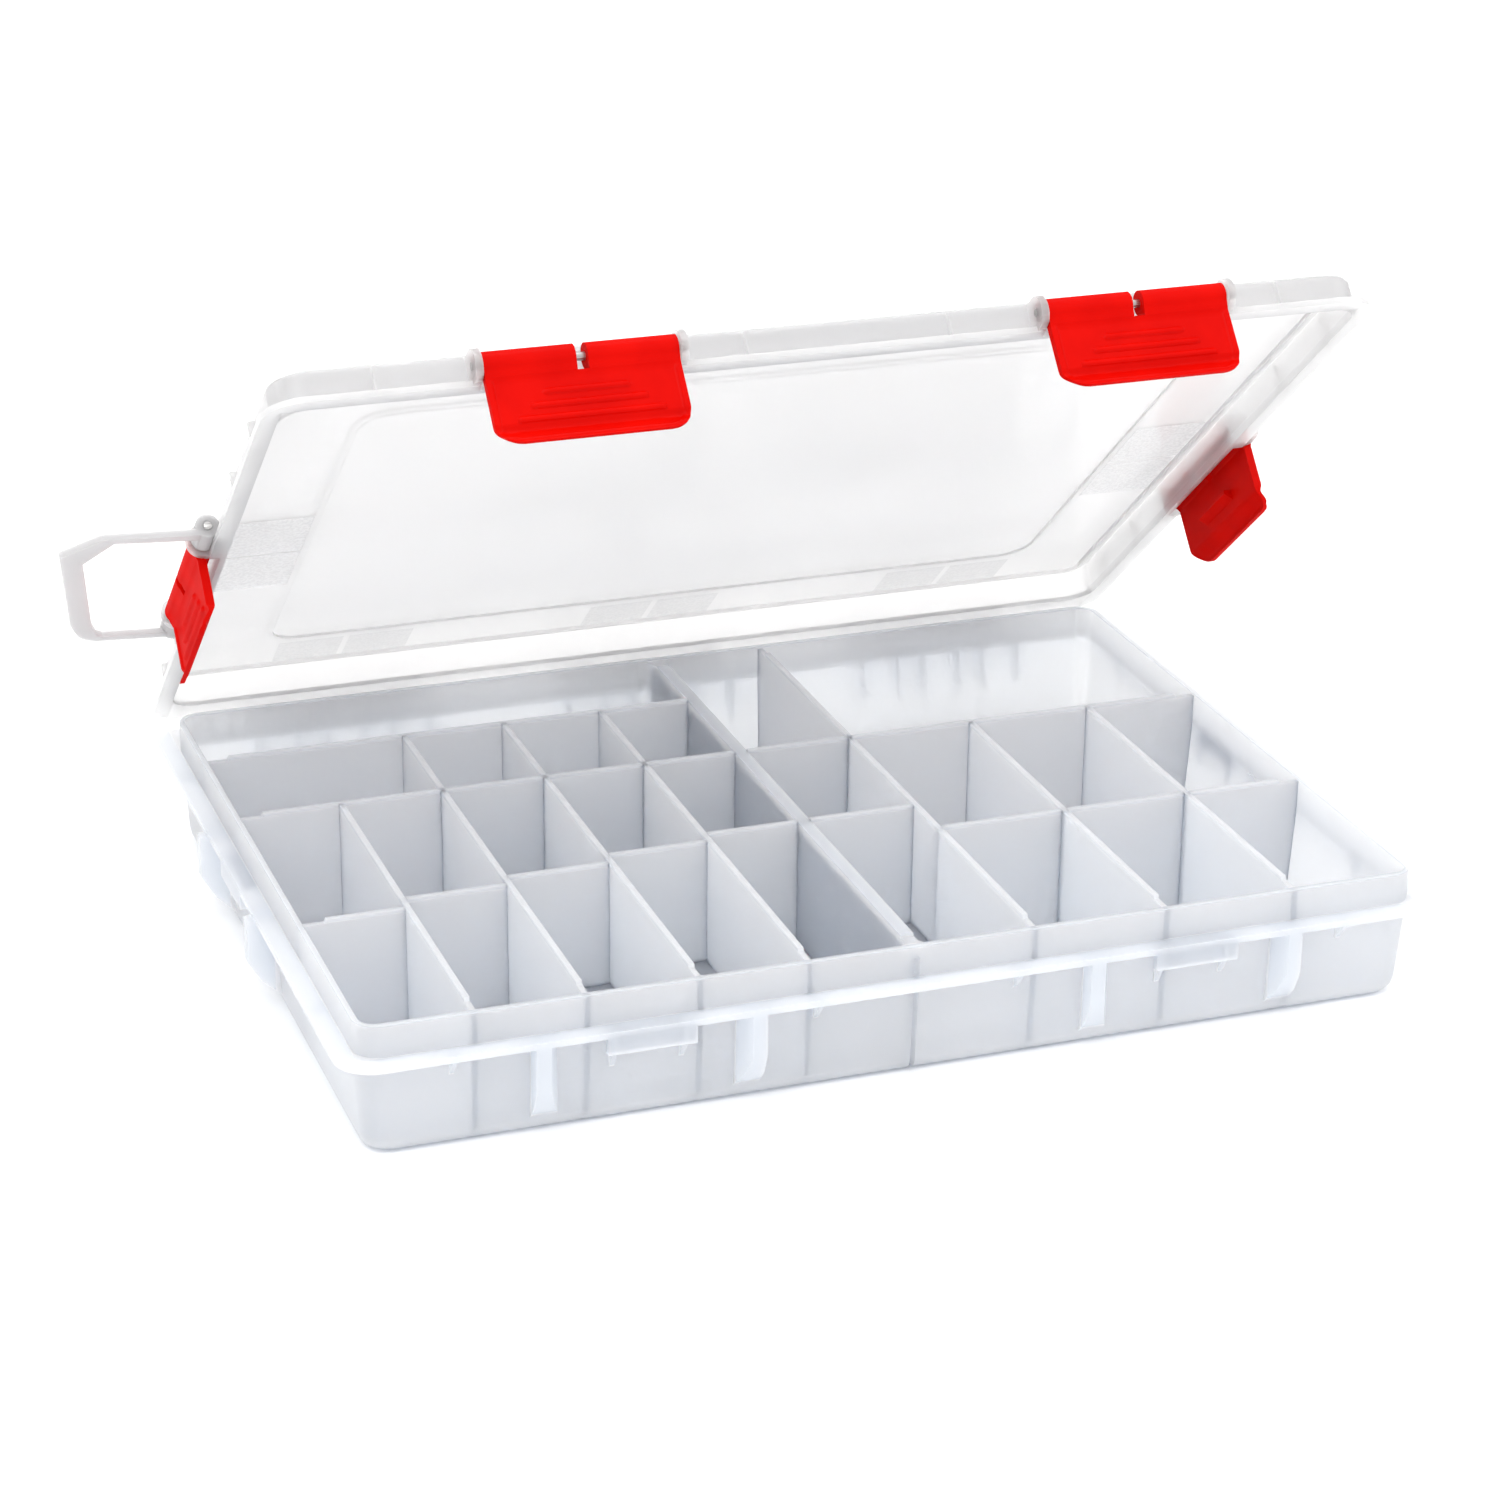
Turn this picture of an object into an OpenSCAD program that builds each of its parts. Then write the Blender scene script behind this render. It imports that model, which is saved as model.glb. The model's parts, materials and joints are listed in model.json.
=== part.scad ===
// Flat compartment tackle box: a two-bay tray, a hinged lid, four pivoting latches
// and a bail handle. +X runs along the box, -Y is the front, +Z is up. The origin is
// on the underside, at the middle of the tray.

/* [Tray] */
// Length of the upright rim, outside
rim_len = 347; // [320:1:380]
// Depth of the upright rim, front to back, outside
rim_dep = 252; // [230:1:280]
// Height of the rim above the table
rim_z = 44; // [40:0.5:60]
// Height of the top face of the flange that the lid closes on
flange_z = 33.6; // [30:0.2:36]
// How far the flange stands out from the rim
flange_out = 6.3; // [5:0.1:7]
// Thickness of the flange
flange_t = 2; // [1.5:0.1:3]
// Thickness of the outer walls
wall = 1.8; // [1.4:0.1:2.4]
// Thickness of the floor
floor_t = 1.6; // [1.2:0.1:2.4]
// Thickness of the inner walls
inner_t = 2; // [1.4:0.1:2.4]

/* [Lid] */
// How far the lid stands open, from closed
open_angle = 41; // [20:1:90]
// Thickness of the lid's top panel
panel_t = 1.6; // [1.2:0.1:2.4]
// Height of the raised field in the middle of the lid
field_rise = 0.9; // [0.4:0.1:1.2]

/* [Latches] */
// Middle of the left-hand front latch
latch_left_x = -85; // [-100:1:-70]
// Middle of the right-hand front latch
latch_right_x = 94; // [70:1:100]
// Middle of the two end latches, front to back
latch_end_y = 16; // [0:1:30]
// Width of a latch
latch_w = 60; // [50:1:62]
// Length of a latch below its pivot
latch_len = 27; // [24:0.5:28]

/* [Handle] */
// Reach of the handle's arms from their pivot
handle_reach = 45; // [43:1:50]
// Thickness of the handle strip
handle_t = 2.2; // [2:0.1:3]
// Half the span between the inner faces of the handle's arms
arm_in = 41; // [38:0.5:44]

/* [Hidden] */

clear_blue = [0.86, 0.90, 0.95, 0.45];
latch_red = [0.93, 0.16, 0.07];
steel = [0.75, 0.76, 0.78];

eps = 0.01;
rim_r = 8;                             // corner radius of the rim, outside
flange_r = 12;                         // corner radius of the flanges
draft = 1.6;                           // how far the lower walls lean in by the bottom
foot_r = 5;                            // radius of the lower edge
foot_in = draft + 3.4;                 // how far the hollow's foot stands in from the rim
flange_bottom = flange_z - flange_t;
flange_x = rim_len / 2 + flange_out;
flange_front = rim_dep / 2 + flange_out;
flange_rear = rim_dep / 2 + 13;        // the rear ledge carries the hinge knuckles

// the seam wall between the two bays
seam_a = 1.0;                          // left face of the slot under the seam wall
seam_b = 2.6;                          // right face of that slot
seam_t = 1.4;                          // thickness of each skin of the seam wall
seam_top = 40;                         // top of the slot

// hinge
hinge_y = 143.5;
hinge_z = 34.4;
knuckle_r = 3.2;
hinge_pin_r = 1.2;
hinge_pin_len = 64;
hinge_at = [-113, 0, 113];
tray_knuckle_w = 15.4;
lid_knuckle_w = 8;
knuckle_pitch = 24;

// lid
lid_z = flange_z + 0.2;                // underside of the lid's flange when closed
lid_gap = 0.7;                         // between the rim and the lid's wall
lid_wall = 1.7;
lid_under = rim_z + 0.9;               // underside of the lid's panel when closed
lid_top = lid_under + panel_t;
lid_x = rim_len / 2 + lid_gap + lid_wall;
lid_y = rim_dep / 2 + lid_gap + lid_wall;
field_x = 143;                         // half length of the raised field
field_y = [-92, 102];                  // its front and rear edges
lip_drop = 1.3;                        // the locating lip inside the rim
lip_t = 1.2;

// latches, measured outwards (o) from the pivot and up (z)
pivot_out = 1.4;                       // from the flange edge to the pivot
pivot_z = 39.6;
barrel_r = 4;
latch_pin_r = 1.3;
run_gap = 0.06;                        // running clearance on a pin
ear_t = 2.4;
ear_r = 5.2;
ear_gap = 0.35;
plate_in = -0.6;
plate_out = 1.6;
slot_w = 3.6;
rib_z = -10.7;                         // height of the first grip rib
rib_pitch = 4.1;
rib_len = [26.5, 36.1, 45.7];

// catches and guards on the tray
catch_w = 28;
catch_t = 2.4;
catch_z = 26;
guard_in = 31.6;                       // latch centre to the guard's outer strip
guard_out = 36.3;
guard_foot = 28;                       // the guard's inner face where it meets the wall
end_guard_out = 182.3;

// inner walls
part_x = [-137.9, -103.2, -67.8, -32.7, 41.4, 86.1, 130.5];
long_y = 34.0;                         // long wall across both bays
trough_y = 83.6;                       // wall of the rear trough, left bay
cross_y = [-50.9, -44.2, -38.7, -32.8, -27.2, -26.9, -46.3, -46.3, -46.3];
inner_top = 44.5;
notch_len = 7;
notch_drop = 1.3;

ix = rim_len / 2 - wall;               // inside faces of the rim
iy = rim_dep / 2 - wall;
seam_left = seam_a - seam_t;
seam_right = seam_b + seam_t;

// points of a rounded rectangle, from its low to its high corner
function rr(x0, y0, x1, y1, r, n = 8) = [
  for (q = [[x1 - r, y1 - r, 0], [x0 + r, y1 - r, 90], [x0 + r, y0 + r, 180], [x1 - r, y0 + r, 270]])
    for (i = [0 : n]) [q[0] + r * cos(q[2] + 90 * i / n), q[1] + r * sin(q[2] + 90 * i / n)]
];

module slab(x0, y0, x1, y1, r, z0, z1) {
  translate([0, 0, z0]) linear_extrude(z1 - z0) polygon(rr(x0, y0, x1, y1, r));
}

module centred_slab(hx, hy, r, z0, z1) slab(-hx, -hy, hx, hy, r, z0, z1);

// a box between two corners
module block(a, b) translate(a) cube(b - a);

// the drafted body below the rim, with its rounded lower edge
module body_solid() {
  hx = rim_len / 2;
  hy = rim_dep / 2;
  hull() {
    centred_slab(hx - draft - foot_r, hy - draft - foot_r, rim_r, 0, eps);
    centred_slab(hx - draft - foot_r * 0.62, hy - draft - foot_r * 0.62, rim_r, foot_r * 0.08, foot_r * 0.08 + eps);
    centred_slab(hx - draft - foot_r * 0.29, hy - draft - foot_r * 0.29, rim_r, foot_r * 0.29, foot_r * 0.29 + eps);
    centred_slab(hx - draft - foot_r * 0.08, hy - draft - foot_r * 0.08, rim_r, foot_r * 0.62, foot_r * 0.62 + eps);
    centred_slab(hx - draft, hy - draft, rim_r, foot_r, foot_r + eps);
    centred_slab(hx, hy, rim_r, flange_bottom, flange_bottom + eps);
  }
  centred_slab(hx, hy, rim_r, flange_bottom, rim_z);
}

// the hollow of one bay; end -1 or +1 is the side that the end wall's draft is on
module bay_hollow(x0, x1, end) {
  a = end < 0 ? 1 : 0;
  b = end > 0 ? 1 : 0;
  hull() {
    slab(x0 + a * foot_in, -iy + foot_in, x1 - b * foot_in, iy - foot_in, 3, floor_t, floor_t + eps);
    slab(x0 + a * draft, -iy + draft, x1 - b * draft, iy - draft, 4, floor_t + 3.4, floor_t + 3.4 + eps);
    slab(x0, -iy, x1, iy, 5, flange_bottom, rim_z + 1);
  }
}

// catch and guards of one latch: origin under the latch's middle, wall face at o = 0,
// local -Y pointing outwards, reach = how far the catch stands out
module catch(reach, guard_reach) {
  translate([-catch_w / 2, -reach, catch_z]) cube([catch_w, catch_t, flange_z - catch_z - 0.5]);
  for (s = [-1, 1])
    translate([s * (catch_w / 2 - 3) - 0.8, 0, 0]) rotate([90, 0, 90]) linear_extrude(1.6)
      polygon([[1.6, flange_bottom + 0.4], [1.6, 18.6], [0, 19.2], [-reach + 2, catch_z + 0.2], [-reach + 2, flange_bottom + 0.4]]);
  for (s = [-1, 1]) flip_x(s) intersection() {
    translate([0, 0, 2.4]) linear_extrude(flange_bottom - 2)
      polygon([[guard_foot, 2.6], [guard_foot, 0], [guard_in, -guard_reach], [guard_out, -guard_reach], [guard_out, 2.6]]);
    translate([guard_foot - 1, 0, 0]) rotate([90, 0, 90]) linear_extrude(guard_out - guard_foot + 2)
      polygon([[2.6, 4], [0.4, 6.4], [-guard_reach * 0.5, 10.5], [-guard_reach, 17.6], [-guard_reach, flange_bottom + 0.4], [2.6, flange_bottom + 0.4]]);
  }
}

// its children as drawn for s = 1, left and right swapped for s = -1
module flip_x(s) {
  if (s > 0) children();
  else mirror([1, 0, 0]) children();
}

// a thin triangular gusset under the flange, wall face at y = 0, outwards -Y
module gusset(reach, drop, t = 1.5) {
  translate([-t / 2, 0, 0]) rotate([90, 0, 90]) linear_extrude(t)
    polygon([[1.2, flange_bottom + 0.4], [1.2, flange_bottom - drop], [0.2, flange_bottom - drop], [-reach, flange_bottom - 0.6], [-reach, flange_bottom + 0.4]]);
}

module knuckle(x0, w, r_bore, side) {
  // side -1: joined down to the tray, +1: joined up to the lid
  difference() {
    union() {
      translate([x0, hinge_y, hinge_z]) rotate([0, 90, 0]) cylinder(r = knuckle_r, h = w, $fn = 48);
      translate([x0, flange_rear - 2.5, side < 0 ? flange_bottom : lid_z]) cube([w, hinge_y - flange_rear + 2.5, 2]);
    }
    translate([x0 - 1, hinge_y, hinge_z]) rotate([0, 90, 0]) cylinder(r = r_bore, h = w + 2, $fn = 48);
  }
}

module tray_hinge(c) {
  for (k = [-1, 0, 1]) {
    x0 = c + k * knuckle_pitch - tray_knuckle_w / 2;
    knuckle(x0, tray_knuckle_w, hinge_pin_r + 0.01, -1);
    for (dx = [0.8, tray_knuckle_w - 0.8])
      translate([x0 + dx, rim_dep / 2, 0]) rotate([0, 0, 180]) gusset(flange_rear - rim_dep / 2 - 0.6, 15, 1.6);
  }
}

module tray_shell() color(clear_blue) {
  difference() {
    union() {
      body_solid();
      slab(-flange_x, -flange_front, flange_x, flange_rear, flange_r, flange_bottom, flange_z);
    }
    bay_hollow(-ix, seam_left, -1);
    bay_hollow(seam_right, ix, 1);
    block([seam_a, -rim_dep, -1], [seam_b, rim_dep, seam_top]);
    // the seam wall is cut down where the lid's locating lip crosses it
    for (y = [-iy, iy - notch_len])
      block([seam_left - 5, y, inner_top - notch_drop], [seam_right + 5, y + notch_len, rim_z + 1]);
  }
  // the flange bridges the slot under the seam wall at the front and the rear
  for (y = [[-flange_front, -rim_dep / 2], [rim_dep / 2, flange_rear]])
    block([seam_a - 1, y[0], flange_bottom], [seam_b + 1, y[1], flange_z]);
  for (x = [latch_left_x, latch_right_x])
    translate([x, -rim_dep / 2, 0]) catch(flange_out - 0.2, flange_out);
  for (s = [-1, 1])
    translate([s * rim_len / 2, latch_end_y, 0]) rotate([0, 0, s * 90]) catch(flange_out - 0.2, end_guard_out - rim_len / 2);
  for (x = [-145.5, -31, 34.8, 146])
    translate([x, -rim_dep / 2, 0]) gusset(flange_out - 1.4, 7);
  for (s = [-1, 1], y = [-88, 96])
    translate([s * rim_len / 2, y, 0]) rotate([0, 0, s * 90]) gusset(flange_out - 1.4, 7);
  for (c = hinge_at) tray_hinge(c);
}

// an inner wall along Y at x, from y0 to y1; notched where it meets the rim
module wall_y(x, y0, y1, notch0, notch1) color(clear_blue) {
  translate([x - inner_t / 2, 0, 0]) rotate([90, 0, 90]) linear_extrude(inner_t) polygon(concat(
    [[y0 + (notch0 ? foot_in : eps), floor_t + eps], [y1 - (notch1 ? foot_in : eps), floor_t + eps]],
    notch1 ? [[y1 - draft, floor_t + 3.6], [y1 - eps, flange_bottom], [y1 - eps, inner_top - notch_drop], [y1 - notch_len, inner_top - notch_drop], [y1 - notch_len - 0.6, inner_top]]
           : [[y1 - eps, inner_top]],
    notch0 ? [[y0 + notch_len + 0.6, inner_top], [y0 + notch_len, inner_top - notch_drop], [y0 + eps, inner_top - notch_drop], [y0 + eps, flange_bottom], [y0 + draft, floor_t + 3.6]]
           : [[y0 + eps, inner_top]]
  ));
}

// an inner wall along X at y, the same way
module wall_x(y, x0, x1, notch0, notch1) translate([0, y, 0]) rotate([0, 0, -90])
  wall_y(0, x0, x1, notch0, notch1);

half_t = inner_t / 2;
left_edge = [-ix, part_x[0] + half_t, part_x[1] + half_t, part_x[2] + half_t, part_x[3] + half_t, seam_right, part_x[4] + half_t, part_x[5] + half_t, part_x[6] + half_t];
right_edge = [part_x[0] - half_t, part_x[1] - half_t, part_x[2] - half_t, part_x[3] - half_t, seam_left, part_x[4] - half_t, part_x[5] - half_t, part_x[6] - half_t, ix];

module partition(i) wall_y(part_x[i], -iy, long_y - half_t, true, false);
module rear_partition(i, y1, notched) wall_y(part_x[i], long_y + half_t, y1, false, notched);
module cross_wall(i) wall_x(cross_y[i], left_edge[i], right_edge[i], i == 0, i == 8);

// places its children, drawn in the closed position, on the open lid
module on_lid() translate([0, hinge_y, hinge_z]) rotate([-open_angle, 0, 0]) translate([0, -hinge_y, -hinge_z]) children();

// puts a latch or its fittings, drawn at its pivot with -Y outwards, in its place
module at_latch(which) {
  if (which == 0) translate([latch_left_x, -flange_front - pivot_out, pivot_z]) children();
  if (which == 1) translate([latch_right_x, -flange_front - pivot_out, pivot_z]) children();
  if (which == 2) translate([-flange_x - pivot_out, latch_end_y, pivot_z]) rotate([0, 0, -90]) children();
  if (which == 3) translate([flange_x + pivot_out, latch_end_y, pivot_z]) rotate([0, 0, 90]) children();
}

module ear(x0) {
  reach = flange_out + pivot_out - lid_gap - lid_wall;
  difference() {
    union() {
      translate([x0, 0, 0]) rotate([0, 90, 0]) cylinder(r = ear_r, h = ear_t, $fn = 64);
      translate([x0, 0, lid_z - pivot_z + 0.4]) cube([ear_t, reach + 0.8, ear_r - lid_z + pivot_z - 0.4]);
    }
    translate([x0 - 1, 0, 0]) rotate([0, 90, 0]) cylinder(r = latch_pin_r + 0.01, h = ear_t + 2, $fn = 48);
  }
}

module lid_closed() {
  difference() {
    union() {
      slab(-flange_x, -flange_front, flange_x, flange_rear, flange_r, lid_z, lid_z + flange_t);
      hull() {
        centred_slab(lid_x, lid_y, rim_r + lid_gap + lid_wall, lid_z, lid_top - 2.4);
        centred_slab(lid_x - 0.7, lid_y - 0.7, rim_r + lid_gap + lid_wall, lid_top - 1, lid_top - 1 + eps);
        centred_slab(lid_x - 2.4, lid_y - 2.4, rim_r + lid_gap + lid_wall, lid_top - eps, lid_top);
      }
      slab(-field_x, field_y[0], field_x, field_y[1], 12, lid_top - 0.5, lid_top + field_rise);
    }
    centred_slab(lid_x - lid_wall, lid_y - lid_wall, rim_r + lid_gap, lid_z - 1, lid_under);
    slab(-field_x + 1.6, field_y[0] + 1.6, field_x - 1.6, field_y[1] - 1.6, 10.4, lid_under - 1, lid_under + field_rise);
    // the flange is cut back behind each latch
    for (i = [0 : 3]) at_latch(i)
      translate([-latch_w / 2 - ear_gap, -4, lid_z - pivot_z - 1]) cube([latch_w + 2 * ear_gap, pivot_out + flange_out - lid_gap - lid_wall + 3.6, flange_t + 2]);
  }
  // locating lip inside the rim
  difference() {
    centred_slab(ix - 0.7, iy - 0.7, 5, lid_under - lip_drop, lid_under + 0.4);
    centred_slab(ix - 0.7 - lip_t, iy - 0.7 - lip_t, 4, lid_under - lip_drop - 1, lid_under + 1);
  }
  // stiffening ribs on the outer wall
  for (x = [-145.5, -31, 34.8, 146])
    block([x - 0.8, -flange_front + 1.6, lid_z + 1], [x + 0.8, -lid_y + 0.6, lid_top - 2.6]);
  for (s = [-1, 1], y = [-98, -60, 76, 108])
    block([s > 0 ? lid_x - 0.6 : -flange_x + 1.6, y - 0.8, lid_z + 1], [s > 0 ? flange_x - 1.6 : -lid_x + 0.6, y + 0.8, lid_top - 2.6]);
  for (i = [0 : 3], s = [0, 1]) at_latch(i)
    ear(s == 0 ? -latch_w / 2 - ear_gap - ear_t : latch_w / 2 + ear_gap);
  for (c = hinge_at, k = [-0.5, 0.5])
    knuckle(c + k * knuckle_pitch - lid_knuckle_w / 2, lid_knuckle_w, hinge_pin_r + run_gap, 1);
}

module lid() color(clear_blue) on_lid() lid_closed();

// one latch at its pivot: barrel, plate, hook and finger lip
module latch_solid() {
  w2 = latch_w / 2;
  difference() {
    union() {
      translate([-w2, 0, 0]) rotate([0, 90, 0]) cylinder(r = barrel_r, h = latch_w, $fn = 64);
      // plate with rounded lower corners
      intersection() {
        translate([-w2, 0, 0]) rotate([90, 0, 90]) linear_extrude(latch_w) polygon([
          [-3.6, -1.2], [-plate_out - 1.2, -4.2], [-plate_out, -6.2], [-plate_out, -latch_len + 5], [-plate_out - 1.6, -latch_len + 1.6], [-plate_out - 2.8, -latch_len + 0.2], [-plate_out - 2.6, -latch_len],
          [-plate_out - 1, -latch_len], [-plate_in - 0.6, -latch_len + 4], [-plate_in, -latch_len + 6], [-plate_in, -4], [2.4, -2.6]]);
        translate([0, 10, 0]) rotate([90, 0, 0]) linear_extrude(30)
          polygon(rr(-w2, -latch_len, w2, 8, 7));
      }
      // hook that engages under the catch
      translate([-catch_w / 2 + 2, 0, 0]) rotate([90, 0, 90]) linear_extrude(catch_w - 4) polygon([
        [-plate_in - 0.5, catch_z - pivot_z - 0.3], [-plate_in + 2.6, catch_z - pivot_z - 0.3], [-plate_in + 2.6, catch_z - pivot_z - 1.5], [-plate_in - 0.5, catch_z - pivot_z - 4.5]]);
      // three grip ribs, longer towards the finger lip
      for (k = [0 : 2])
        translate([-rib_len[k] / 2, -plate_out, rib_z - rib_pitch * k]) rotate([0, 90, 0]) cylinder(r = 0.8, h = rib_len[k], $fn = 24);
      // raised side edges
      for (s = [-1, 1])
        translate([s * (w2 - 0.9) - 0.9, -plate_out - 0.7, -latch_len + 7]) cube([1.8, 1.6, latch_len - 11]);
    }
    translate([-w2 - 1, 0, 0]) rotate([0, 90, 0]) cylinder(r = latch_pin_r + run_gap, h = latch_w + 2, $fn = 48);
    translate([-slot_w / 2, -barrel_r - 3, -5]) cube([slot_w, 2 * barrel_r + 6, barrel_r + 8]);
  }
}

module latch(i) color(latch_red) on_lid() at_latch(i) latch_solid();

module latch_pin(i, reach) color(steel) on_lid() at_latch(i)
  translate([-reach, 0, 0]) rotate([0, 90, 0]) cylinder(r = latch_pin_r, h = 2 * reach, $fn = 48);

pin_reach = latch_w / 2 + ear_gap + ear_t;
eye_in = pin_reach + 0.4;              // inner face of the handle's eyes
arm_w = 4;
arm_out = arm_in + arm_w;
eye_r = 3.9;
strip_z = handle_t - eye_r + 0.8;      // top of the strip, near the bottom of the eyes
handle_lift = 3;                       // how far the handle stands up from the lid's plane

// the handle, drawn in its own plane: local X runs from front arm (-) to rear arm (+),
// local -Y points away from the box
module handle_solid() {
  a = arm_in;
  b = arm_out;
  difference() {
    union() {
      for (x0 = [-b, eye_in]) translate([x0, 0, 0]) rotate([0, 90, 0]) cylinder(r = eye_r, h = b - eye_in, $fn = 64);
      translate([0, 0, strip_z - handle_t]) linear_extrude(handle_t) polygon([
        [-b, 0], [-b, -handle_reach + 12], [-b + 13, -handle_reach], [b - 16, -handle_reach + 9.6],
        [b - 9, -handle_reach + 11.8], [b - 4.5, -handle_reach + 13.6], [b - 1.2, -handle_reach + 16.6], [b, -handle_reach + 20], [b, 0],
        [a, 0], [a, -handle_reach + 21.5], [a - 2, -handle_reach + 19.2], [a - 10, -handle_reach + 16.8],
        [-b + 20, -handle_reach + 8], [-a, -handle_reach + 16], [-a, 0]]);
    }
    translate([-b - 1, 0, 0]) rotate([0, 90, 0]) cylinder(r = latch_pin_r + run_gap, h = 2 * b + 2, $fn = 48);
  }
}

module handle() color(clear_blue) on_lid() at_latch(2) rotate([-handle_lift, 0, 0]) flip_x(-1) handle_solid();

module hinge_pin(i) color(steel)
  translate([hinge_at[i] - hinge_pin_len / 2, hinge_y, hinge_z]) rotate([0, 90, 0]) cylinder(r = hinge_pin_r, h = hinge_pin_len, $fn = 48);

tray_shell();
partition(0);  // partition_1
partition(1);  // partition_2
partition(2);  // partition_3
partition(3);  // partition_4
partition(4);  // partition_5
partition(5);  // partition_6
partition(6);  // partition_7
rear_partition(1, trough_y - half_t, false);  // rear_partition_2
rear_partition(2, trough_y - half_t, false);  // rear_partition_3
rear_partition(3, trough_y - half_t, false);  // rear_partition_4
rear_partition(4, iy, true);  // rear_partition_5
wall_x(long_y, -ix, seam_left, true, false);  // long_wall_left
wall_x(long_y, seam_right, ix, false, true);  // long_wall_right
wall_x(trough_y, -ix, seam_left, true, false);  // trough_wall
cross_wall(0);  // cross_wall_1
cross_wall(1);  // cross_wall_2
cross_wall(2);  // cross_wall_3
cross_wall(3);  // cross_wall_4
cross_wall(4);  // cross_wall_5
cross_wall(5);  // cross_wall_6
cross_wall(6);  // cross_wall_7
cross_wall(7);  // cross_wall_8
cross_wall(8);  // cross_wall_9
lid();
latch(0);  // latch_front_left
latch(1);  // latch_front_right
latch(2);  // latch_left
latch(3);  // latch_right
latch_pin(0, pin_reach);  // latch_pin_front_left
latch_pin(1, pin_reach);  // latch_pin_front_right
latch_pin(2, arm_out);  // latch_pin_left
latch_pin(3, pin_reach);  // latch_pin_right
handle();
hinge_pin(0);  // hinge_pin_left
hinge_pin(1);  // hinge_pin_centre
hinge_pin(2);  // hinge_pin_right
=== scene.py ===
import json
import math

import bpy
from mathutils import Matrix, Vector


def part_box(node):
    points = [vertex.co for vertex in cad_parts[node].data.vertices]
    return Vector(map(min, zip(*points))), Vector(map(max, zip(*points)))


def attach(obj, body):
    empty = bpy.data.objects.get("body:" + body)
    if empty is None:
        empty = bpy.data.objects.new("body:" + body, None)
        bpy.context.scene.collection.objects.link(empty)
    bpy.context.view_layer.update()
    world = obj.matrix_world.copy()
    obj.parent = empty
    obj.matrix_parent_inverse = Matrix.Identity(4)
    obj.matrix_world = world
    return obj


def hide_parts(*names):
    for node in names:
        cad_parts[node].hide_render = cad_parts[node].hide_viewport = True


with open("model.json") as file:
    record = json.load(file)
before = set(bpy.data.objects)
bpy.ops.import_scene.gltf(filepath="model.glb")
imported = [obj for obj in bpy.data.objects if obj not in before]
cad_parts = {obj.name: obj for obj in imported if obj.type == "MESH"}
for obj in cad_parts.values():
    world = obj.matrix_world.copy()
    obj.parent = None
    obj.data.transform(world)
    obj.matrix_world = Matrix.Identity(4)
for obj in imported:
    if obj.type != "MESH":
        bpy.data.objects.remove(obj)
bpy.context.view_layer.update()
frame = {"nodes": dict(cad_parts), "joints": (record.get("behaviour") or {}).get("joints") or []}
nodes = frame["nodes"]
joints = {joint["name"]: joint for joint in frame["joints"]}
scene = bpy.context.scene
MM = 0.001

# the lid's hinge: where it is, and how far the lid stands open at rest
HINGE = Vector(joints["lid_hinge"]["pos_m"])
LID_OPEN = math.radians(-joints["lid_hinge"]["range_deg"][0])

# ---------- places ----------
RIM_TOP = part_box("tray_shell")[1][2]
WALL_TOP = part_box("partition_1")[1][2]
RIM_X, RIM_Y = 0.1735, 0.126  # half length and half depth of the tray's rim, outside
LID_X, LID_Y = 0.1759, 0.1284  # the same for the lid's skirt
LID_FOOT = 33.8 * MM  # underside of the closed lid's flange
HINGES = [
    sum(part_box(name)[k][0] for k in (0, 1)) / 2
    for name in sorted(nodes)
    if name.startswith("hinge_pin")
]

# textured patches on the closed lid, as low and high limits: two at each end, two at each hinge
END_PATCH_X = (0.1435, 0.1695)
END_PATCHES_Y = ((-0.0135, 0.0155), (0.0165, 0.0455))
HINGE_PATCHES_X = ((-0.024, -0.001), (0.001, 0.024))  # from the middle of the hinge
HINGE_PATCH_Y = (0.104, 0.122)
HINGE_PATCH_STRENGTH = 0.5
PATCH_SOFT = 0.25 * MM

# ---------- camera and light paths ----------
CAMERA_AT = (-0.40942, -1.1035, 0.55551)
CAMERA_AZIMUTH = math.radians(20.02)
CAMERA_DOWN = math.radians(22.9)
CAMERA_ROLL = math.radians(0.65)
SENSOR_WIDTH = 36
LENS = 92.68


def make_camera():
    az, down, roll = CAMERA_AZIMUTH, CAMERA_DOWN, CAMERA_ROLL
    look = Vector((math.sin(az) * math.cos(down), math.cos(az) * math.cos(down), -math.sin(down)))
    right = look.cross(Vector((0, 0, 1))).normalized()
    up = right.cross(look)
    right_rolled = right * math.cos(roll) + up * math.sin(roll)
    up_rolled = up * math.cos(roll) - right * math.sin(roll)
    data = bpy.data.cameras.new("camera")
    data.sensor_width = SENSOR_WIDTH
    data.lens = LENS
    cam = bpy.data.objects.new("camera", data)
    scene.collection.objects.link(cam)
    turn = Matrix((right_rolled, up_rolled, -look)).transposed().to_4x4()
    cam.matrix_world = Matrix.Translation(CAMERA_AT) @ turn
    scene.camera = cam


def set_light_paths():
    """Light crosses many clear walls one behind another, so paths may be long."""
    scene.view_settings.view_transform = "Standard"
    scene.cycles.max_bounces = 64
    scene.cycles.transmission_bounces = 48
    scene.cycles.transparent_max_bounces = 48
    scene.cycles.diffuse_bounces = 20
    scene.cycles.glossy_bounces = 6


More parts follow.
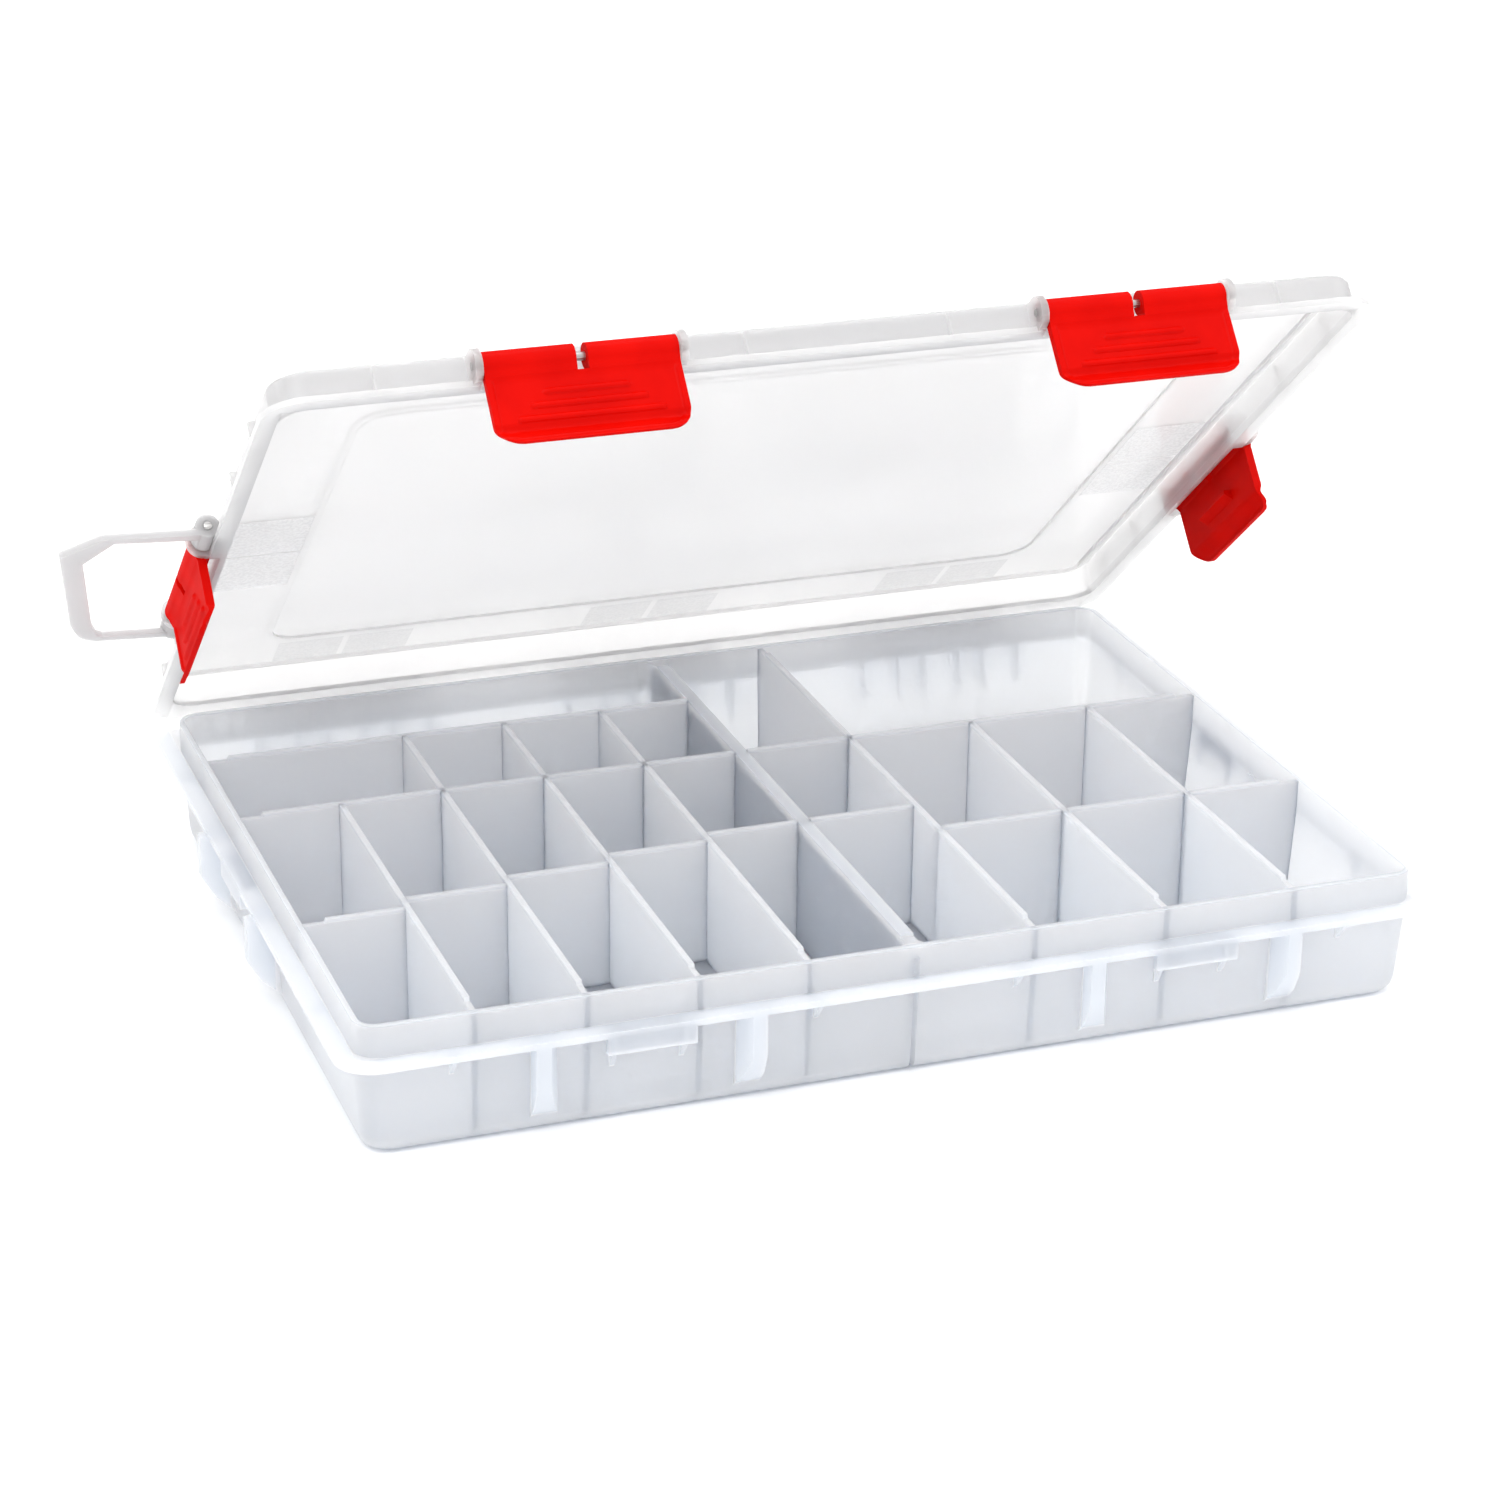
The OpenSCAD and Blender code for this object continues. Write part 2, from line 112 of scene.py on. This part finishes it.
# ---------- material helpers ----------
class Graph:
    """A material's node tree, with short calls for the nodes used here."""

    def __init__(self, name):
        self.mat = bpy.data.materials.new(name)
        self.mat.use_nodes = True
        self.tree = self.mat.node_tree
        self.tree.nodes.clear()
        out = self.tree.nodes.new("ShaderNodeOutputMaterial")
        self.bsdf = self.tree.nodes.new("ShaderNodeBsdfPrincipled")
        self.tree.links.new(self.bsdf.outputs[0], out.inputs[0])
        self.place = self.tree.nodes.new("ShaderNodeTexCoord").outputs["Object"]

    def feed(self, socket, value):
        if isinstance(value, bpy.types.NodeSocket):
            self.tree.links.new(value, socket)
        else:
            socket.default_value = value

    def set(self, **values):
        for key, value in values.items():
            self.feed(self.bsdf.inputs[key.replace("_", " ")], value)

    def math(self, operation, a, b=0.0):
        node = self.tree.nodes.new("ShaderNodeMath")
        node.operation = operation
        self.feed(node.inputs[0], a)
        self.feed(node.inputs[1], b)
        return node.outputs[0]

    def ramp(self, value, low, high, out_low=0.0, out_high=1.0):
        node = self.tree.nodes.new("ShaderNodeMapRange")
        node.interpolation_type = "SMOOTHSTEP"
        for socket, item in zip(node.inputs[:5], (value, low, high, out_low, out_high)):
            self.feed(socket, item)
        return node.outputs[0]

    def noise(self, scale, detail, stretch=(1, 1, 1)):
        turn = self.tree.nodes.new("ShaderNodeMapping")
        self.feed(turn.inputs[0], self.place)
        turn.inputs["Scale"].default_value = stretch
        node = self.tree.nodes.new("ShaderNodeTexNoise")
        self.feed(node.inputs["Vector"], turn.outputs[0])
        node.inputs["Scale"].default_value = scale
        node.inputs["Detail"].default_value = detail
        return node.outputs[0]

    def xyz(self, place=None):
        node = self.tree.nodes.new("ShaderNodeSeparateXYZ")
        self.feed(node.inputs[0], place or self.place)
        return node.outputs[0], node.outputs[1], node.outputs[2]

    def mix(self, factor, a, b):
        node = self.tree.nodes.new("ShaderNodeMix")
        node.data_type = "RGBA"
        self.feed(node.inputs["Factor"], factor)
        self.feed(node.inputs["A"], (*a, 1) if isinstance(a, tuple) else a)
        self.feed(node.inputs["B"], (*b, 1) if isinstance(b, tuple) else b)
        return node.outputs["Result"]

    def bump(self, height, distance, strength, under=None):
        node = self.tree.nodes.new("ShaderNodeBump")
        node.inputs["Strength"].default_value = strength
        node.inputs["Distance"].default_value = distance
        self.feed(node.inputs["Height"], height)
        if under is not None:
            self.feed(node.inputs["Normal"], under)
        return node.outputs[0]

    def most(self, *masks):
        total = masks[0]
        for mask in masks[1:]:
            total = self.math("MAXIMUM", total, mask)
        return total

    def inside(self, value, low, high, soft):
        rise = self.ramp(value, low - soft, low + soft)
        fall = self.ramp(value, high - soft, high + soft, 1.0, 0.0)
        return self.math("MULTIPLY", rise, fall)


def closed_place(g):
    """Coordinates of a point of the open lid, turned back to where it is when the lid is closed."""
    node = g.tree.nodes.new("ShaderNodeMapping")
    g.feed(node.inputs[0], g.place)
    turn = Matrix.Rotation(LID_OPEN, 3, "X")
    node.inputs["Rotation"].default_value = (LID_OPEN, 0, 0)
    node.inputs["Location"].default_value = HINGE - turn @ HINGE
    return node.outputs[0]


# ---------- materials ----------
FROST_TINT = (0.6, 0.595, 0.6)
LATCH_REDS = ((0.59, 0.0018, 0.0004), (0.66, 0.0028, 0.0007))
STEEL_GREYS = ((0.36, 0.355, 0.35), (0.58, 0.57, 0.56))
EDGE_ANGLE = math.radians(40)


def clear_plastic(
    name, tint, milk, rough, edge=None, edge_tint=None, frost=None, coat=0.0, ior=1.3, depth=10
):
    """Translucent polypropylene. edge(g) marks where light gathers, frost(g) where it is textured.

    milk is the share of light that scatters inside, and depth how far, in mm. rough stays above
    0.28: at about 0.27 the denoiser's idea of the surface changes, and a surface that crosses
    that value comes out blotchy.
    """
    g = Graph(name)
    cloud = g.noise(22, 3)
    streak = g.noise(9, 4, stretch=(1, 1, 6))
    thin = tuple(c * 0.985 for c in tint)
    base = g.mix(g.ramp(cloud, 0.3, 0.7), thin, tint)
    clear = g.math("SUBTRACT", 1 - milk, g.math("MULTIPLY", g.ramp(streak, 0.3, 0.75), 0.05))
    surface = g.ramp(cloud, 0.3, 0.7, rough, rough + 0.06)
    normal = g.bump(g.noise(420, 2), 0.02 * MM, 0.35)
    if edge:
        mask = edge(g)
        base = g.mix(mask, base, edge_tint)
        clear = g.math("MULTIPLY", clear, g.ramp(mask, 0.0, 1.0, 1.0, 0.5))
    if frost:
        grain = frost(g)
        speckle = g.math("MULTIPLY", g.ramp(g.noise(900, 1), 0.35, 0.65, 0.6, 1.0), grain)
        base = g.mix(speckle, base, FROST_TINT)
        surface = g.math("ADD", surface, g.math("MULTIPLY", grain, 0.2))
        clear = g.math("MULTIPLY", clear, g.ramp(grain, 0.0, 1.0, 1.0, 0.6))
        rough_grain = g.math("MULTIPLY", g.noise(1500, 1), grain)
        normal = g.bump(rough_grain, 0.12 * MM, 0.7, under=normal)
    g.set(Base_Color=base, Transmission_Weight=clear, Roughness=surface, Normal=normal)
    g.set(IOR=ior, Subsurface_Weight=1.0, Subsurface_Radius=(1, 1, 1), Subsurface_Scale=depth * MM)
    if coat:
        g.set(Coat_Weight=coat, Coat_Roughness=0.08, Coat_IOR=1.45)
    return g.mat


def lid_edges(g):
    """The skirt at the ends and the front, strongest on the flange."""
    x, y, z = g.xyz(closed_place(g))
    side = g.ramp(g.math("ABSOLUTE", x), LID_X - 2.6 * MM, LID_X - 1.6 * MM)
    front = g.ramp(y, -LID_Y + 1.6 * MM, -LID_Y + 2.6 * MM, 1.0, 0.0)
    flange = g.ramp(z, LID_FOOT + 2.4 * MM, LID_FOOT + 3.2 * MM, 1.0, 0.0)
    return g.math("MULTIPLY", g.most(side, front), g.ramp(flange, 0.0, 1.0, 0.45, 1.0))


def lid_frost(g):
    x, y, _ = g.xyz(closed_place(g))
    across = g.inside(g.math("ABSOLUTE", x), *END_PATCH_X, PATCH_SOFT)
    front, rear = (g.inside(y, *span, PATCH_SOFT) for span in END_PATCHES_Y)
    total = g.math("MULTIPLY", across, g.math("ADD", front, rear))
    strip = g.inside(y, *HINGE_PATCH_Y, PATCH_SOFT)
    for centre in HINGES:
        near, far = (g.inside(x, centre + low, centre + high, PATCH_SOFT) for low, high in HINGE_PATCHES_X)
        patch = g.math("MULTIPLY", strip, g.math("ADD", near, far))
        total = g.most(total, g.math("MULTIPLY", patch, HINGE_PATCH_STRENGTH))
    return total


def tray_edges(g):
    """Everything that stands out from the rim at the ends and the front, the rim's top and the foot."""
    x, y, z = g.xyz()
    side = g.ramp(g.math("ABSOLUTE", x), RIM_X + 0.1 * MM, RIM_X + 0.6 * MM)
    front = g.ramp(y, -RIM_Y - 0.6 * MM, -RIM_Y - 0.1 * MM, 1.0, 0.0)
    rim = g.ramp(z, RIM_TOP - 0.7 * MM, RIM_TOP - 0.3 * MM)
    foot = g.ramp(z, 0.6 * MM, 1.6 * MM, 0.5, 0.0)
    return g.most(side, front, rim, foot)


def wall_edges(g):
    return g.ramp(g.xyz()[2], WALL_TOP - 1.5 * MM, WALL_TOP - 0.9 * MM)


def latch_plastic():
    g = Graph("orange_red_polypropylene")
    grain = g.noise(900, 2)
    base = g.mix(g.ramp(g.noise(60, 3), 0.3, 0.7), *LATCH_REDS)
    g.set(Base_Color=base, Roughness=g.ramp(grain, 0.3, 0.7, 0.36, 0.46))
    g.set(Normal=g.bump(grain, 0.03 * MM, 0.4), Specular_IOR_Level=0.0)
    g.set(Coat_Weight=0.1, Coat_Roughness=0.3, Coat_IOR=1.5)
    return g.mat


def drawn_steel():
    """Drawn wire, with fine lines along x."""
    g = Graph("stainless_steel")
    lines = g.noise(2600, 2, stretch=(0.04, 1, 1))
    g.set(Base_Color=g.mix(lines, *STEEL_GREYS), Metallic=1.0)
    g.set(Roughness=g.ramp(lines, 0.3, 0.7, 0.22, 0.36), Normal=g.bump(lines, 0.01 * MM, 0.5))
    return g.mat


def edge_finish(obj, width):
    """Rounds the moulded edges of a CAD node so that they catch the light."""
    weld = obj.modifiers.new("weld", "WELD")
    weld.merge_threshold = 0.001 * MM
    bevel = obj.modifiers.new("edges", "BEVEL")
    bevel.width = width
    bevel.segments = 2
    bevel.limit_method = "ANGLE"
    bevel.angle_limit = EDGE_ANGLE
    bevel.use_clamp_overlap = True
    normals = obj.modifiers.new("normals", "WEIGHTED_NORMAL")
    normals.keep_sharp = False


def finish_nodes():
    """Each CAD node's material and edge radius. The latches are left to make_latches."""
    lid = clear_plastic(
        "clear_lid", (0.93, 0.92, 0.917), 0.34, 0.29,
        lid_edges, (0.68, 0.672, 0.672), lid_frost, coat=0.5, ior=1.2, depth=40,
    )
    tray = clear_plastic(
        "clear_tray", (0.958, 0.975, 1.0), 0.7, 0.3, tray_edges, (0.62, 0.665, 0.74), depth=30
    )
    wall = clear_plastic(
        "clear_walls", (0.952, 0.974, 1.0), 0.78, 0.3, wall_edges, (0.72, 0.76, 0.82), depth=30
    )
    grip = clear_plastic("clear_handle", (0.46, 0.455, 0.46), 0.85, 0.4)
    steel = drawn_steel()
    for name, obj in nodes.items():
        if name.startswith("latch_pin") or name.startswith("hinge_pin"):
            mat, width = steel, 0.25 * MM
        elif name.startswith("latch"):
            continue
        elif name == "lid":
            mat, width = lid, 0.25 * MM
        elif name == "tray_shell":
            mat, width = tray, 0.25 * MM
        elif name == "handle":
            mat, width = grip, 0.5 * MM
        else:
            mat, width = wall, 0.3 * MM
        for slot in obj.material_slots:
            slot.material = mat
        edge_finish(obj, width)


# ---------- latches ----------
# one latch in its own frame, in millimetres: x along the pivot, o outwards, z up, pivot at 0
LATCH_W = (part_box("latch_front_left")[1][0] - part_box("latch_front_left")[0][0]) / MM
LATCH_LEN = 27.0
BARREL_R = 4.0
BARREL_ARC = (math.radians(-38), math.radians(228))
BARREL_STEPS = 44
BORE_R = 1.36
PLATE_FACE = 1.6
PLATE_BACK = -0.6
CORNER_R = 7.5
SLOT_W = 3.6
SLOT_Z = -5.0
SLOT_FACE = 2.35  # the face at the foot of the slot
RIBS = [(-10.7, 26.5), (-14.8, 36.1), (-18.9, 45.7)]  # height and length
RIB_H = 0.85
RIB_R = 1.05
BORDER_W = 2.3
BORDER_H = 0.55
# the face and the back of the plate, as (z, o), down to the lip that a finger lifts
FACE = [(-7.4, PLATE_FACE), (-19.6, PLATE_FACE), (-21.8, 0.95), (-25.4, 3.2), (-LATCH_LEN, 4.1)]
BACK = [(SLOT_Z, PLATE_BACK), (-20.5, PLATE_BACK), (-LATCH_LEN, 3.0)]
# the hook on the back, as (o, z), and its half width
HOOK = [
    (PLATE_BACK + 0.5, -13.9),
    (PLATE_BACK - 2.6, -13.9),
    (PLATE_BACK - 2.6, -15.1),
    (PLATE_BACK + 0.5, -18.1),
]
HOOK_X = 12
COLUMNS = 96
ROWS = 92
CROWD = 1.25  # how far the columns crowd towards the ends
SHARP = math.radians(42)


def smooth(value, low, high):
    t = min(1.0, max(0.0, (value - low) / (high - low)))
    return t * t * (3 - 2 * t)


def curve_at(points, z):
    """A smooth height through a few (z, o) points, highest z first."""
    for (z0, o0), (z1, o1) in zip(points, points[1:]):
        if z >= z1:
            t = (z0 - z) / (z0 - z1)
            return o0 + (o1 - o0) * t * t * (3 - 2 * t)
    return points[-1][1]


def half_width(z):
    drop = -z - (LATCH_LEN - CORNER_R)
    if drop <= 0:
        return LATCH_W / 2
    return LATCH_W / 2 - CORNER_R + math.sqrt(max(0.0, CORNER_R ** 2 - drop ** 2))


def edge_distance(x, z):
    """How far a point of the face lies inside the latch's outline."""
    dx = abs(x) - (LATCH_W / 2 - CORNER_R)
    dz = -z - (LATCH_LEN - CORNER_R)
    if dx > 0 and dz > 0:
        return CORNER_R - math.hypot(dx, dz)
    return CORNER_R - max(dx, dz)


def relief(x, z):
    """Grip ribs and the raised border, as height above the face."""
    if z > SLOT_Z:
        return 0.0
    height = 0.0
    for rib_z, rib_len in RIBS:
        along = max(0.0, abs(x) - rib_len / 2 + RIB_R)
        distance = math.hypot(along, z - rib_z) / RIB_R
        if distance < 1:
            height = max(height, RIB_H * (1 - distance ** 2) ** 0.6)
    border = BORDER_H * smooth(edge_distance(x, z), BORDER_W, BORDER_W - 0.7)
    return max(height, border * smooth(z, SLOT_Z, SLOT_Z - 2))


def face(z):
    """The face's height: it runs out of the barrel in a curve, then follows FACE."""
    if z >= FACE[0][0]:
        t = (SLOT_Z - z) / (SLOT_Z - FACE[0][0])
        return SLOT_FACE + (PLATE_FACE - SLOT_FACE) * (2 * t - t * t)
    return curve_at(FACE, z)


def barrel_path():
    """The profile from the face at the slot's foot, round the barrel, to the back of the plate."""
    start, stop = BARREL_ARC
    arc = [start + (stop - start) * i / BARREL_STEPS for i in range(BARREL_STEPS + 1)]
    first = [(face(SLOT_Z), SLOT_Z), (2.78, -3.75)]
    last = [(-1.35, -3.85), (PLATE_BACK, SLOT_Z)]
    return first + [(BARREL_R * math.cos(a), BARREL_R * math.sin(a)) for a in arc] + last


def latch_mesh(name):
    """Faces of one latch: a closed profile swept along x, with a slot, a bore, ribs and a border."""
    half = COLUMNS // 2
    slot = SLOT_W / 2 / (LATCH_W / 2)
    side = [slot + (1 - slot) * (1 - (1 - i / half) ** CROWD) for i in range(half + 1)]
    spread = [-s for s in reversed(side)] + side
    left_slot, right_slot = half, half + 1
    depths = [SLOT_Z + (-LATCH_LEN - SLOT_Z) * j / ROWS for j in range(ROWS + 1)]
    path = barrel_path()
    verts, faces = [], []

    def add(x, o, z):
        verts.append((x, -o, z))
        return len(verts) - 1

    def quads(first, second, flip=False):
        for i in range(len(first) - 1):
            quad = (first[i], first[i + 1], second[i + 1], second[i])
            faces.append(quad[::-1] if flip else quad)

    def close(first, second, flip=False):
        quads(first + first[:1], second + second[:1], flip)

    # the plate: its face, its back and the strips that join them
    across = [[s * half_width(z) for s in spread] for z in depths]
    front = [[add(x, face(z) + relief(x, z), z) for x in xs] for z, xs in zip(depths, across)]
    back = [[add(x, curve_at(BACK, z), z) for x in xs] for z, xs in zip(depths, across)]
    for j in range(ROWS):
        quads(front[j], front[j + 1], flip=True)
        quads(back[j], back[j + 1])
    quads(front[ROWS], back[ROWS], flip=True)
    quads([row[0] for row in front], [row[0] for row in back], flip=True)
    quads([row[-1] for row in front], [row[-1] for row in back])
    quads(front[0][left_slot:right_slot + 1], back[0][left_slot:right_slot + 1])

    # the barrel, in two halves with the slot between them, each with its bore
    angles = [math.atan2(z, o) for o, z in path]
    for low, high in ((0, left_slot), (right_slot, len(spread) - 1)):
        loops = []
        for k in range(low, high + 1):
            x = spread[k] * LATCH_W / 2
            loops.append([front[0][k]] + [add(x, o, z) for o, z in path[1:-1]] + [back[0][k]])
        for a, b in zip(loops, loops[1:]):
            quads(a, b)
        bores = []
        for k in (low, high):
            x = spread[k] * LATCH_W / 2
            bores.append([add(x, BORE_R * math.cos(a), BORE_R * math.sin(a)) for a in angles])
        close(bores[0], bores[1], flip=True)
        close(loops[0], bores[0], flip=True)
        close(loops[-1], bores[1])

    ends = [[add(x, o, z) for o, z in HOOK] for x in (-HOOK_X, HOOK_X)]
    close(ends[0], ends[1])
    faces.append(tuple(ends[0]))
    faces.append(tuple(reversed(ends[1])))
    mesh = bpy.data.meshes.new(name)
    mesh.from_pydata([Vector(v) * MM for v in verts], [], faces)
    mesh.validate()
    return mesh


def latch_place(joint):
    """The latch's own frame in the world, from its joint and the open lid."""
    along = -Vector(joint["axis"])
    up = Vector((0, math.sin(LID_OPEN), math.cos(LID_OPEN)))
    inward = up.cross(along)
    turn = Matrix((along, inward, up)).transposed().to_4x4()
    return Matrix.Translation(joint["pos_m"]) @ turn


def make_latches():
    mat = latch_plastic()
    shape = latch_mesh("latch")
    for side in ("front_left", "front_right", "left", "right"):
        name = "latch_" + side
        mesh = shape.copy()
        mesh.transform(latch_place(joints[name + "_pivot"]))
        mesh.materials.append(mat)
        mesh.shade_smooth()
        mesh.set_sharp_from_angle(angle=SHARP)
        obj = bpy.data.objects.new(name + "_moulding", mesh)
        scene.collection.objects.link(obj)
        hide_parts(name)
        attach(obj, name)


# ---------- stage ----------
FLOOR_SIZE = 60
FLOOR_DROP = 0.2 * MM
WORLD_LOW, WORLD_HIGH = 0.79, 1.45  # brightness at the horizon and overhead
LIGHTS_TARGET = Vector((0, 0, 0.05))
# name, place, size, power
LIGHTS = (
    ("key", (-0.9, -1.0, 1.9), (1.2, 1.2), 10),
    ("fill", (1.4, -0.4, 1.2), (1.0, 1.0), 3),
    ("top", (0.1, 0.7, 2.0), (1.6, 1.0), 6),
)


def make_floor():
    bpy.ops.mesh.primitive_plane_add(size=FLOOR_SIZE, location=(0, 0, -FLOOR_DROP))
    floor = bpy.context.object
    floor.name = "floor"
    g = Graph("floor")
    g.set(Base_Color=(0.98, 0.98, 0.98, 1), Roughness=0.8)
    floor.data.materials.append(g.mat)


def make_world():
    """A soft tent: brighter overhead than at the sides."""
    world = bpy.data.worlds.new("world")
    scene.world = world
    world.use_nodes = True
    tree = world.node_tree
    place = tree.nodes.new("ShaderNodeTexCoord")
    split = tree.nodes.new("ShaderNodeSeparateXYZ")
    rise = tree.nodes.new("ShaderNodeMapRange")
    tree.links.new(place.outputs["Generated"], split.inputs[0])
    tree.links.new(split.outputs[2], rise.inputs[0])
    for k, value in enumerate((0.0, 1.0, WORLD_LOW, WORLD_HIGH)):
        rise.inputs[k + 1].default_value = value
    tree.links.new(rise.outputs[0], tree.nodes["Background"].inputs[1])
    tree.nodes["Background"].inputs[0].default_value = (1, 1, 1, 1)


def make_lights():
    for name, place, size, power in LIGHTS:
        data = bpy.data.lights.new(name, "AREA")
        data.shape = "RECTANGLE"
        data.size, data.size_y = size
        data.energy = power
        light = bpy.data.objects.new(name, data)
        scene.collection.objects.link(light)
        light.location = place
        aim = LIGHTS_TARGET - Vector(place)
        light.rotation_euler = aim.to_track_quat("-Z", "Y").to_euler()


make_camera()
set_light_paths()
finish_nodes()
make_latches()
make_floor()
make_world()
make_lights()
